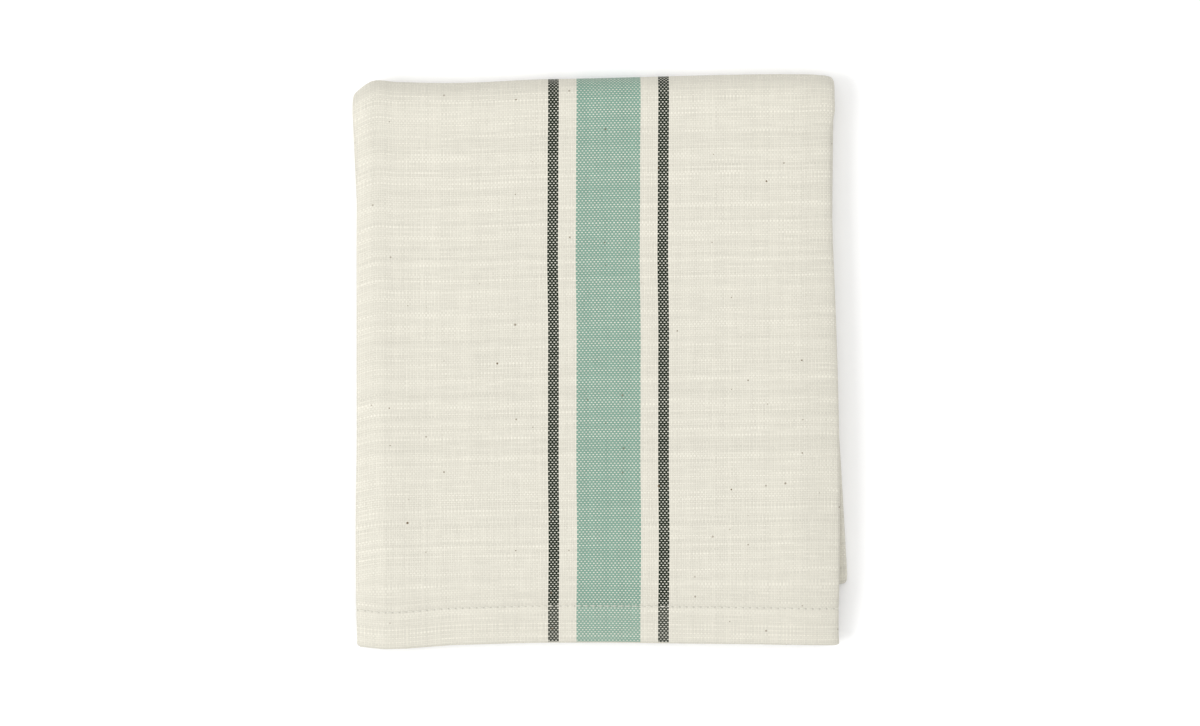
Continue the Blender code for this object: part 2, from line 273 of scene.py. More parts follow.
@dataclass
class FoldedPile:
    """Where every point of the folded strip lies. Metres, but for the tables.

    Depth is measured inwards from the outer layer's face. A panel lays it straight up or down, and a turn
    lays it along the radius of a half circle.
    """

    solid_thickness: float = 1.05 * MM
    solid_hem_thickness: float = 1.5 * MM
    gap: float = 0.30 * MM
    share_at_left: float = 0.30
    share_at_right: float = 0.55
    left_fall_power: float = 1.35
    hem_droop: float = 4.6 * MM
    hem_depth: float = 14.0 * MM
    hem_step: float = 2.5 * MM
    hem_row: float = 0.8 * MM
    room_share: float = 2.2
    hidden_set_back: float = 2.5 * MM
    crown: float = 0.05
    crown_reach: tuple[float, float] = (84.0 * MM, 98.0 * MM)
    near_y: float = -76.0 * MM
    far_y: float = 89.0 * MM
    left_side: Guide = Guide(-81.5, -81.5, 87.6, -76.9, -93.4)
    right_flap_end: Guide = Guide(-70.2, -75.6, 92.0, -76.3, -94.5)
    left_flap_end: Guide = Guide(64.0, 64.0, 94.6, -74.1, -93.1)
    right_side: Guide = Guide(81.5, 81.5, 90.0, -73.3, -93.2)
    between: tuple[Guide, ...] = (
        Guide(-62.0, -66.0, 92.0, -76.2, -94.2),
        Guide(-50.0, -50.0, 91.7, -76.0, -93.2),
        Guide(-38.0, -38.0, 92.0, -75.8, -92.8),
        Guide(-25.0, -25.0, 92.7, -75.6, -92.4),
        Guide(0.0, 0.0, 93.3, -75.2, -92.3),
        Guide(30.0, 30.0, 94.1, -74.8, -92.6),
        Guide(48.0, 48.0, 94.5, -74.4, -92.8),
    )
    past_left_flap: tuple[Guide, ...] = (
        Guide(72.0, 72.0, 94.4, -73.8, -93.3),
        Guide(77.0, 77.0, 93.6, -73.6, -93.3),
    )
    creases: tuple[Crease, ...] = (
        Crease((-70.0, -66.0), (-74.2, 80.0), width=4.2, height=0.32),
        Crease((-61.0, 10.0), (-63.0, 82.0), width=9.0, height=-0.50),
        Crease((-52.0, -80.0), (-55.0, -22.0), width=8.0, height=-0.34),
        Crease((-66.0, -66.0), (-66.5, -20.0), width=6.0, height=0.14),
        Crease((40.0, 66.0), (52.0, 78.0), width=16.0, height=0.45),
        Crease((56.0, -18.0), (64.0, -54.0), width=9.0, height=0.34),
        Crease((60.0, -28.0), (61.5, -34.0), width=4.0, height=-0.22),
        Crease((-34.0, -74.0), (-24.0, -64.0), width=5.0, height=-0.16),
        Crease((-56.0, -62.0), (-46.0, -52.0), width=6.0, height=-0.12),
        Crease((10.0, 20.0), (60.0, 34.0), width=24.0, height=-0.25),
        Crease((-30.0, -30.0), (20.0, -44.0), width=26.0, height=0.22),
        Crease((30.0, -66.0), (78.0, -62.0), width=8.0, height=-0.20),
    )
    ripples: Ripples = Ripples(seed=11, count=26, shortest=13.0, longest=46.0, height=0.050)
    full_height: float = field(init=False)

    def __post_init__(self) -> None:
        """Work out the height of the level pile."""
        self.full_height = 12.0 * self.solid_thickness + 11.0 * self.gap

    @property
    def guides(self) -> tuple[Guide, ...]:
        """All the guides, from the left side to the right."""
        return (self.left_side, self.right_flap_end, *self.between, self.left_flap_end, *self.past_left_flap,
                self.right_side)

    def guide_x(self, guide: Guide, y: float | Array) -> Array:
        """Return a guide's x at y, on the straight line between its two ends."""
        part = (y - self.near_y) / (self.far_y - self.near_y)
        return (guide.near_x + (guide.far_x - guide.near_x) * part) * MM

    def outline(self, name: str, x: Array) -> Array:
        """Return one of the outlines in the guide table at x, as a flowing curve.

        Args:
            name: front_fold, hidden_fold or front_hem.
            x: where to read it.

        Returns:
            The outline's y.
        """
        end = "far_x" if name == "front_fold" else "near_x"
        knots_x = np.array([getattr(guide, end) for guide in self.guides]) * MM
        knots_y = np.array([getattr(guide, name) for guide in self.guides]) * MM
        return flowing(x, knots_x, knots_y)

    def side_folds(self, rows: tuple[Sides, ...], y: Array) -> tuple[Array, Array]:
        """Read the two side folds, as flowing curves.

        Args:
            rows: the table of side folds.
            y: where to read it.

        Returns:
            The left fold's x and the right fold's x.
        """
        knots_y = np.array([row.y for row in rows]) * MM
        left = flowing(y, knots_y, np.array([row.left for row in rows]) * MM)
        right = flowing(y, knots_y, np.array([row.right for row in rows]) * MM)
        return left, right

    def left_flap_share(self, x: Array) -> Array:
        """Return how much of the left flap's thickness holds the pile apart: 1 up to its end, then less."""
        flap_end = self.guide_x(self.left_flap_end, self.far_y)
        return 1.0 - (1.0 - self.share_at_right) * eased(x, flap_end, self.right_side.far_x * MM)

    def right_flap_share(self, x: Array, y: Array) -> Array:
        """Work out how much of the right flap's thickness holds the pile apart, past its end on the left.

        Args:
            x: the places' x.
            y: their y, since the flap's end slants.

        Returns:
            1 up to the flap's end, and less towards the left side with a power of the distance.
        """
        flap_end = self.guide_x(self.right_flap_end, y)
        fall = np.clip((flap_end - x) / (flap_end - self.left_side.near_x * MM), 0.0, 1.3)
        return 1.0 - (1.0 - self.share_at_left) * fall ** self.left_fall_power

    def flap_layers(self, x: Array, y: Array) -> Array:
        """Return how many flap layers hold the strip open at x, y."""
        return self.left_flap_share(x) + self.right_flap_share(x, y)

    def strip_depth(self, x: Array, y: Array) -> Array:
        """Return the three-layer strip's depth: the outer layer, and each flap layer with its gap."""
        return self.solid_thickness + (self.solid_thickness + self.gap) * self.flap_layers(x, y)

    def near_centre(self, x: Array) -> Array:
        """Return the y of the hidden turn's centre line, one strip and half a gap in from the hidden fold."""
        fold = self.outline("hidden_fold", x)
        return fold + self.strip_depth(x, fold) + 0.5 * self.gap

    def far_centre(self, x: Array) -> Array:
        """Return the y of the front turn's centre line, two strips and a gap and a half in from the fold."""
        fold = self.outline("front_fold", x)
        return fold - 2.0 * self.strip_depth(x, fold) - 1.5 * self.gap

    def settle(self, x: Array, y: Array, height: Array) -> Array:
        """Settle the level pile.

        The pile is loftier in its middle, the creases and ripples lift what lies high in it most, and the
        hems' flap sinks past the hidden turn with the square of the distance.

        Args:
            x: the points' x.
            y: their y.
            height: their height in the level pile.

        Returns:
            Their height in the settled one.
        """
        across = np.maximum(1.0 - (x / self.crown_reach[0]) ** 2, 0.0)
        along = np.maximum(1.0 - (y / self.crown_reach[1]) ** 2, 0.0)
        relief = self.ripples.rise(x, y)
        for crease in self.creases:
            relief = relief + crease.rise(x, y)
        near = self.near_centre(x)
        past_turn = np.maximum(near - y, 0.0) / (near - self.outline("front_hem", x))
        part = np.clip(height / self.full_height, 0.0, 1.1)
        lofty = height * (1.0 + self.crown * across * along)
        return lofty + relief * part ** 2 - self.hem_droop * past_turn ** 2

    def hem_lines(self, panel: Panel) -> tuple[Array, Array, Array]:
        """Work out a hem's lines, closer together where its edge rounds and where its thickness steps.

        Args:
            panel: the panel that ends in the hem.

        Returns:
            The lines' distances from the front hem's edge, and at each the solid's thickness and the room:
            how far each layer of the hidden panel has made way, for its own hem and for the front one.
        """
        start = 0.0 if panel.hem == "front" else self.hidden_set_back
        end = start + self.hem_depth
        rounding = np.array([0.02, 0.10, 0.22, 0.40, 0.65, 1.0]) * MM
        even = np.arange(1.7 * MM, self.hem_depth, self.hem_row)
        distances = start + np.concatenate([rounding, even])
        step = end + np.array([0.0, 0.5, 1.0]) * self.hem_step
        distances = np.concatenate([distances[distances < end - 0.4 * MM], step])
        swell = eased(distances, end + self.hem_step, end)
        thickness = self.solid_thickness + (self.solid_hem_thickness - self.solid_thickness) * swell
        full_room = self.room_share * (self.solid_hem_thickness - self.solid_thickness)
        room_from = self.hem_depth + 0.5 * self.hem_step
        room_to = self.hidden_set_back + self.hem_depth + 1.8 * self.hem_step
        room = full_room * eased(distances, room_to, room_from)
        return distances, thickness, room if panel.hem == "hidden" else np.zeros_like(room)


# --------------------------------------------------------------------------------------------------------
# The cloth
# --------------------------------------------------------------------------------------------------------


@dataclass
class ClothSheet:
    """The grids of points of the cloth: one row for each station along it, one column for each across it.

    face and back are rows by columns by 3, and across and along are the cloth's own coordinates in metres.
    """

    face: Array
    back: Array
    normal: Array
    across: Array
    along: Array
    front_stitch_row: int
    hidden_stitch_row: int


@dataclass
class TowelCloth:
    """The towel's one sheet of cloth, with its hems."""

    pile: FoldedPile
    width: float = 450.0 * MM
    middle_x: float = 3.3 * MM
    thickness: float = 0.75 * MM
    hem_thickness: float = 1.30 * MM
    stitch_line: float = 12.6 * MM
    groove: float = 0.09 * MM
    groove_width: float = 0.85 * MM
    pucker: float = 0.075 * MM
    pucker_length: float = 6.2 * MM
    pucker_width: float = 3.4 * MM
    edge_roll: float = 0.10 * MM
    flap_columns: int = 20
    turn_columns: int = 10
    outer_columns: int = 98
    name: str = "towel_cloth"

    def cross_section(self, left: Array, right: Array, y: Array, solid: Array) -> tuple[Array, Array, Array]:
        """Return the strip's cross-section for each station.

        A flap and the outer layer are straight runs at their own depths, and a side fold is a half circle:
        its x is the centre's plus the radius times the sine of the angle, and its depth the centre's minus
        the radius times the cosine.

        Args:
            left: the left side fold's x, one for each station.
            right: the right side fold's x.
            y: the station's y, which is not used.
            solid: the solid's thickness there.

        Returns:
            x, depth, and the distance across the cloth, each stations by columns.
        """
        left, right, y, solid = (np.asarray(value)[:, None] for value in (left, right, y, solid))
        slack = 0.5 * (self.pile.solid_thickness - self.thickness)
        pitch = solid + self.pile.gap
        left_radius = 0.5 * (pitch + solid - slack)
        left_x = left + left_radius
        right_radius = 0.5 * (pitch * (1.0 + self.pile.left_flap_share(right)) + solid - slack)
        right_x = right - right_radius
        left_fold = 0.5 * self.width - (self.middle_x - left_x)
        right_fold = 0.5 * self.width + (right_x - self.middle_x)
        left_bend = math.pi * (left_radius - 0.5 * self.thickness)
        right_bend = math.pi * (right_radius - 0.5 * self.thickness)

        rounding = np.array([0.01, 0.06, 0.14, 0.25, 0.375]) * MM
        flap_part = np.linspace(0.0, 1.0, self.flap_columns)[1:]
        turn_part = np.arange(1, self.turn_columns) / self.turn_columns
        left_flap = left_fold - left_bend
        right_flap = self.width - right_fold - right_bend
        from_selvedge = np.concatenate([np.zeros_like(left_flap) + rounding,
                                        rounding[-1] + (left_flap - rounding[-1]) * flap_part], axis=1)
        to_selvedge = np.concatenate([rounding[-1] + (right_flap - rounding[-1]) * flap_part[::-1],
                                      np.zeros_like(right_flap) + rounding[::-1]], axis=1)
        outer = left_x + (right_x - left_x) * np.linspace(0.0, 1.0, self.outer_columns + 1)[1:-1]

        left_flap_x = left_x + left_flap - from_selvedge
        right_flap_x = right_x - right_flap + to_selvedge
        angle = math.pi * turn_part
        left_turn_x = left_x - left_radius * np.sin(angle)
        right_turn_x = right_x + right_radius * np.sin(angle)
        right_flap_depth = pitch * (1.0 + self.pile.left_flap_share(right_flap_x)) + solid - slack
        right_flap_depth = np.minimum(right_flap_depth, 2.0 * right_radius + pitch)
        blend = eased(right_flap_x, right_x - 4.0 * MM, right_x)
        right_flap_depth = right_flap_depth * (1.0 - blend) + 2.0 * right_radius * blend

        x = np.concatenate([left_flap_x, left_turn_x, outer, right_turn_x, right_flap_x], axis=1)
        depth = np.concatenate([
            np.zeros_like(left_flap_x) + 2.0 * left_radius,
            left_radius + left_radius * np.cos(angle) + 0.0 * left_x,
            np.zeros_like(outer),
            right_radius - right_radius * np.cos(angle) + 0.0 * right_x,
            right_flap_depth], axis=1)
        across = np.concatenate([
            from_selvedge,
            left_flap + left_bend * turn_part,
            0.5 * self.width + outer - self.middle_x,
            right_fold + right_bend * turn_part,
            self.width - to_selvedge], axis=1)
        return x, depth, across

    def panel_rows(self, panel: Panel) -> tuple[Array, Array, Array, Array, Array]:
        """Lay out a panel's face.

        Its rows lie on lines at fixed distances from the hem's edge, and then in even steps from the hidden
        turn's centre line to the front turn's.

        Args:
            panel: the panel.

        Returns:
            x, y, z and the distance across the cloth, each rows by columns, and for each row how far its
            thickness is a hem's, from 0 to 1.
        """
        pile = self.pile
        lines = []
        if panel.hem:
            distances, solid, room = pile.hem_lines(panel)
            for distance, thickness, make_way in zip(distances, solid, room):
                lines.append((lambda x, d=distance: pile.outline("front_hem", x) + d, thickness, make_way))
            last = float(distances[-1])
            for part in (0.35, 0.7):
                lines.append((lambda x, d=last, p=part: (1.0 - p) * (pile.outline("front_hem", x) + d)
                              + p * pile.near_centre(x),
                              pile.solid_thickness, (1.0 - part) * float(room[-1])))
        for part in np.linspace(0.0, 1.0, panel.rows):
            lines.append((lambda x, p=part: (1.0 - p) * pile.near_centre(x) + p * pile.far_centre(x),
                          pile.solid_thickness, 0.0))
        lines = lines[::panel.heading]

        middle = np.array([float(line(np.array([self.middle_x]))[0]) for line, _, _ in lines])
        solid = np.array([thickness for _, thickness, _ in lines])
        room = np.array([make_way for _, _, make_way in lines])[:, None]
        left, right = pile.side_folds(panel.sides, middle)
        x, depth, across = self.cross_section(left, right, middle, solid)
        y = np.stack([line(row) for (line, _, _), row in zip(lines, x)])
        height = panel.strips * pile.strip_depth(x, y) + panel.gaps * pile.gap + panel.depth_sign * depth
        height = height - room * (1.0 + pile.flap_layers(x, y))
        swell = (solid - pile.solid_thickness) / (pile.solid_hem_thickness - pile.solid_thickness)
        return x, y, pile.settle(x, y, height), across, swell

    def turn_rows(self, turn: Turn) -> tuple[Array, Array, Array, Array, Array]:
        """Lay out a turn's face.

        y is the centre line's plus the radius times the sine of the angle, and z the centre's height plus the
        radius times its cosine, where the radius shrinks or grows with depth.

        Args:
            turn: the turn.

        Returns:
            The same five as for a panel.
        """
        pile = self.pile
        centre_line: Callable[[Array], Array] = pile.far_centre if turn.end > 0 else pile.near_centre
        angle = (math.pi * np.arange(1, turn.rows) / turn.rows)[:, None]
        middle = np.full(turn.rows - 1, float(centre_line(np.array([self.middle_x]))[0]))
        left, right = pile.side_folds(turn.sides, middle)
        solid = np.full(turn.rows - 1, pile.solid_thickness)
        x, depth, across = self.cross_section(left, right, middle, solid)
        centre_y = centre_line(x)
        strip = pile.strip_depth(x, centre_y)
        centre = turn.centre[0] * strip + turn.centre[1] * pile.gap
        radius = turn.radius[0] * strip + turn.radius[1] * pile.gap + turn.depth_sign * depth
        y = centre_y + turn.end * radius * np.sin(angle)
        height = centre + turn.start * radius * np.cos(angle)
        return x, y, pile.settle(x, centre_y, height), across, np.zeros(turn.rows - 1)

    def seam_relief(self, across: Array, distance: Array) -> Array:
        """Return how far the face rises along a hem's seam.

        The seam sinks in a narrow groove, and puckers beside it: a wave along the seam, uneven because a
        slower wave is added to its phase, under a bell across the seam.

        Args:
            across: the distance across the cloth.
            distance: the distance from the hem's own edge.

        Returns:
            The rise along the normal.
        """
        off_seam = distance - self.stitch_line
        wander = 1.4 * np.sin(across / (17.0 * MM)) + 0.9 * np.sin(across / (7.3 * MM) + 1.0)
        wave = np.sin(2.0 * math.pi * across / self.pucker_length + wander)
        held_down = 0.6 * bell(off_seam, 0.8 * MM)
        puckers = self.pucker * wave * (bell(off_seam, self.pucker_width) - held_down)
        edge_roll = self.edge_roll * bell(distance - 1.2 * MM, 1.4 * MM)
        return puckers - self.groove * bell(off_seam, self.groove_width) + edge_roll

    def sheet(self) -> ClothSheet:
        """Work out the cloth's grids.

        The face is the folded strip's face. Its normal is the cross product of the differences across and
        along the grid. The back lies one thickness behind it, and both close in a half circle at the edges.

        Returns:
            The grids of the face, the back and the cloth's own coordinates.
        """
        sections = [self.panel_rows(part) if isinstance(part, Panel) else self.turn_rows(part)
                    for part in ROUTE]
        x, y, z, across = (np.concatenate([section[k] for section in sections]) for k in range(4))
        swell = np.concatenate([section[4] for section in sections])[:, None]
        face = np.stack([x, y, z], axis=2)

        middle = int(np.argmin(np.abs(across[0] - 0.5 * self.width)))
        steps = np.linalg.norm(np.diff(face[:, middle], axis=0), axis=1)
        along = np.concatenate([[0.0], np.cumsum(steps)])[:, None] + 0.0 * across
        length = float(along[-1, 0])

        normal = np.cross(np.gradient(face, axis=1), np.gradient(face, axis=0))
        normal = normal / np.linalg.norm(normal, axis=2, keepdims=True)
        thickness = self.thickness + (self.hem_thickness - self.thickness) * swell + 0.0 * across
        relief = self.seam_relief(across, along) + self.seam_relief(across, length - along)
        face = face + normal * relief[..., None]

        to_edge = np.minimum(np.minimum(across, self.width - across), np.minimum(along, length - along))
        half = 0.5 * thickness
        inset = np.clip(half - to_edge, 0.0, 0.98 * half)
        closing = half - np.sqrt(half ** 2 - inset ** 2)
        back = face - normal * (thickness - closing)[..., None]
        face = face - normal * closing[..., None]
        return ClothSheet(
            face=face, back=back, normal=normal, across=across, along=along,
            front_stitch_row=int(np.argmin(np.abs(along[:, 0] - self.stitch_line))),
            hidden_stitch_row=int(np.argmin(np.abs(length - along[:, 0] - self.stitch_line))))

    def build(self, sheet: ClothSheet) -> bpy.types.Object:
        """Make the cloth's closed mesh from its grids: the face, the back turned over, and the rim.

        Args:
            sheet: the grids.

        Returns:
            The cloth.
        """
        rows, columns = sheet.across.shape
        index = np.arange(rows * columns).reshape(rows, columns)
        near_left, near_right = index[:-1, :-1].ravel(), index[:-1, 1:].ravel()
        far_left, far_right = index[1:, :-1].ravel(), index[1:, 1:].ravel()
        behind = rows * columns
        ring = np.concatenate([index[0, :-1], index[:-1, -1], index[-1, :0:-1], index[:0:-1, 0]])
        following = np.roll(ring, -1)
        quads = np.concatenate([
            np.stack([near_left, near_right, far_right, far_left], axis=1),
            np.stack([near_left, far_left, far_right, near_right], axis=1) + behind,
            np.stack([ring, ring + behind, following + behind, following], axis=1)])
        points = np.concatenate([sheet.face.reshape(-1, 3), sheet.back.reshape(-1, 3)])
        coordinates = np.stack([sheet.across.ravel(), sheet.along.ravel()], axis=1) / MM
        return make_mesh(self.name, points, quads, np.concatenate([coordinates, coordinates]))


def make_mesh(name: str, points: Array, faces: Array, coordinates: Array) -> bpy.types.Object:
    """Make a smooth mesh object with a map of its own coordinates.

    Args:
        name: the piece's name.
        points: its points, in metres.
        faces: its faces, each a row of indices.
        coordinates: the two coordinates that the map gives each point.

    Returns:
        The object, linked to the scene.
    """
    mesh = bpy.data.meshes.new(name)
    mesh.from_pydata(points, [], faces)
    mesh.polygons.foreach_set("use_smooth", np.ones(len(faces), dtype=bool))
    layer = mesh.uv_layers.new(name="cloth")
    layer.data.foreach_set("uv", coordinates[faces.ravel()].astype(np.float32).ravel())
    mesh.validate()
    piece = bpy.data.objects.new(name, mesh)
    bpy.context.scene.collection.objects.link(piece)
    return piece


@dataclass
class HemStitching:
    """One row of lock stitches through a hem, seen on one surface of the cloth."""

    surface: Surface
    row_name: str
    pitch: float = 2.3 * MM
    thread_radius: float = 0.19 * MM
    lift: float = 0.12 * MM
    sink: float = 0.16 * MM
    reach: float = 0.86
    slant: float = 0.115 * MM
    rings: int = 6
    sides: int = 6

    def build(self, cloth: TowelCloth, sheet: ClothSheet, row: int) -> bpy.types.Object:
        """Make the stitches as short bowed tubes.

        A stitch runs across the cloth from needle hole to needle hole. Its centre rises over the surface with
        the sine of the way along it, and its ends sink in. Each ring round it is a circle in the plane of the
        surface's normal and the direction along the cloth.

        Args:
            cloth: the cloth's sizes.
            sheet: its grids.
            row: the grids' row that the seam follows.

        Returns:
            The row of stitches, as one piece.
        """
        side = self.surface.value
        surface = sheet.face if self.surface is Surface.FACE else sheet.back
        across = sheet.across[row]
        count = int((cloth.width - 2.0 * self.pitch) / self.pitch)
        slant = self.slant * np.sin(7.0 * np.arange(count))[:, None]
        part = np.linspace(0.0, 1.0, self.rings)[None, :]
        place = (np.arange(count)[:, None] + 1.0 + 0.5 * (1.0 - self.reach) + self.reach * part) * self.pitch

        centre = np.stack([np.interp(place, across, surface[row, :, k]) for k in range(3)], axis=2)
        outwards = np.stack([np.interp(place, across, sheet.normal[row, :, k]) for k in range(3)], axis=2)
        outwards = side * outwards / np.linalg.norm(outwards, axis=2, keepdims=True)
        ahead = np.gradient(centre, axis=1)
        ahead = ahead / np.linalg.norm(ahead, axis=2, keepdims=True)
        sideways = np.cross(outwards, ahead)
        bow = np.sin(math.pi * part)
        height = self.lift * bow - self.sink * (1.0 - bow)
        centre = centre + outwards * height[..., None] + sideways * (slant * (part - 0.5))[..., None]

        radius = self.thread_radius * (0.55 + 0.45 * bow)[..., None, None]
        angle = 2.0 * math.pi * np.arange(self.sides) / self.sides
        circle = np.cos(angle)[:, None] * sideways[:, :, None, :]
        circle = circle + np.sin(angle)[:, None] * outwards[:, :, None, :]
        points = (centre[:, :, None, :] + radius * circle).reshape(-1, 3)

        index = np.arange(count * self.rings * self.sides).reshape(count, self.rings, self.sides)
        beside = np.roll(index, -1, axis=2)
        walls = np.stack([index[:, :-1], beside[:, :-1], beside[:, 1:], index[:, 1:]], axis=-1).reshape(-1, 4)
        caps = np.concatenate([
            np.stack([index[:, 0, 0], index[:, 0, 3], index[:, 0, 2], index[:, 0, 1]], axis=-1),
            np.stack([index[:, 0, 0], index[:, 0, 5], index[:, 0, 4], index[:, 0, 3]], axis=-1),
            np.stack([index[:, -1, 0], index[:, -1, 1], index[:, -1, 2], index[:, -1, 3]], axis=-1),
            np.stack([index[:, -1, 0], index[:, -1, 3], index[:, -1, 4], index[:, -1, 5]], axis=-1)])
        along = np.broadcast_to(place[..., None], index.shape) / MM
        around = np.broadcast_to(np.arange(self.sides) / self.sides, index.shape)
        coordinates = np.stack([along.ravel(), around.ravel()], axis=1)
        return make_mesh(self.row_name, points, np.concatenate([walls, caps]), coordinates)


# --------------------------------------------------------------------------------------------------------
# Finishes
# --------------------------------------------------------------------------------------------------------


@dataclass
class NodeBench:
    """Short ways to lay out the nodes of a material."""

    tree: bpy.types.NodeTree

    def node(self, kind: str, **settings: object) -> bpy.types.Node:
        """Add a node of a kind and set its properties."""
        node = self.tree.nodes.new(kind)
        for name, value in settings.items():
            setattr(node, name, value)
        return node

    def feed(self, socket: Socket, value: Feed | tuple[float, ...]) -> None:
        """Link a socket to another node's output, or set it to a value.

        Args:
            socket: the socket to feed.
            value: an output of another node, a number or a colour.
        """
        if isinstance(value, Socket):
            self.tree.links.new(value, socket)
        else:
            socket.default_value = value

    def math(self, operation: str, *values: Feed) -> Socket:
        """Do a sum, product or other operation on numbers.

        Args:
            operation: the operation's name.
            values: its numbers.

        Returns:
            The result.
        """
        node = self.node("ShaderNodeMath", operation=operation)
        for socket, value in zip(node.inputs, values):
            self.feed(socket, value)
        return node.outputs[0]

    def blend(self, part: Feed, low: Socket | tuple[float, ...], high: Socket | tuple[float, ...]) -> Socket:
        """Blend two colours.

        Args:
            part: 0 for the low one and 1 for the high one.
            low: the one colour.
            high: the other.

        Returns:
            The blended colour.
        """
        node = self.node("ShaderNodeMix", data_type="RGBA", clamp_factor=True)
        self.feed(node.inputs[0], part)
        self.feed(node.inputs[6], low)
        self.feed(node.inputs[7], high)
        return node.outputs[2]

    def scaled(self, colour: Socket | tuple[float, ...], factor: Feed) -> Socket:
        """Make a colour brighter or darker.

        Args:
            colour: the colour.
            factor: what each of its channels is multiplied by.

        Returns:
            The new colour.
        """
        node = self.node("ShaderNodeVectorMath", operation="SCALE")
        self.feed(node.inputs[0], colour[:3] if isinstance(colour, tuple) else colour)
        self.feed(node.inputs[3], factor)
        return node.outputs[0]

    def step(self, value: Feed, low: Feed, high: Feed) -> Socket:
        """Make a smooth step.

        Args:
            value: the number to judge.
            low: where the step starts.
            high: where it ends, which may be below its start.

        Returns:
            0 before the start, 1 past the end, and a smooth rise between.
        """
        node = self.node("ShaderNodeMapRange", interpolation_type="SMOOTHSTEP")
        self.feed(node.inputs[0], value)
        self.feed(node.inputs[1], low)
        self.feed(node.inputs[2], high)
        return node.outputs[0]

    def point(self, x: Feed, y: Feed) -> Socket:
        """Make a point in the plane.

        Args:
            x: its first number.
            y: its second.

        Returns:
            The point.
        """
        node = self.node("ShaderNodeCombineXYZ")
        self.feed(node.inputs[0], x)
        self.feed(node.inputs[1], y)
        return node.outputs[0]

    def noise(self, vector: Socket, scale: float, detail: float = 1.0) -> Socket:
        """Read a smooth noise.

        Args:
            vector: the point in the plane to read it at.
            scale: how many of its waves there are to one unit.
            detail: how many finer noises are added to it.

        Returns:
            A number from about 0.2 to 0.8.
        """
        node = self.node("ShaderNodeTexNoise", noise_dimensions="2D")
        self.feed(node.inputs["Vector"], vector)
        node.inputs["Scale"].default_value = scale
        node.inputs["Detail"].default_value = detail
        return node.outputs[0]

    def draw(self, number: Feed, seed: float) -> Socket:
        """Draw a random number for each whole number.

        Args:
            number: the whole number.
            seed: what is added to it, so that two uses differ.

        Returns:
            A number from 0 to 1.
        """
        node = self.node("ShaderNodeTexWhiteNoise", noise_dimensions="1D")
        self.feed(node.inputs["W"], self.math("ADD", number, seed))
        return node.outputs["Value"]


@dataclass(frozen=True)
class StripeGroup:
    """The woven stripes, by warp yarns counted from the middle one of the cloth."""

    middle_number: int = 386
    middle_to: int = 18
    line_from: int = 28
    line_to: int = 34


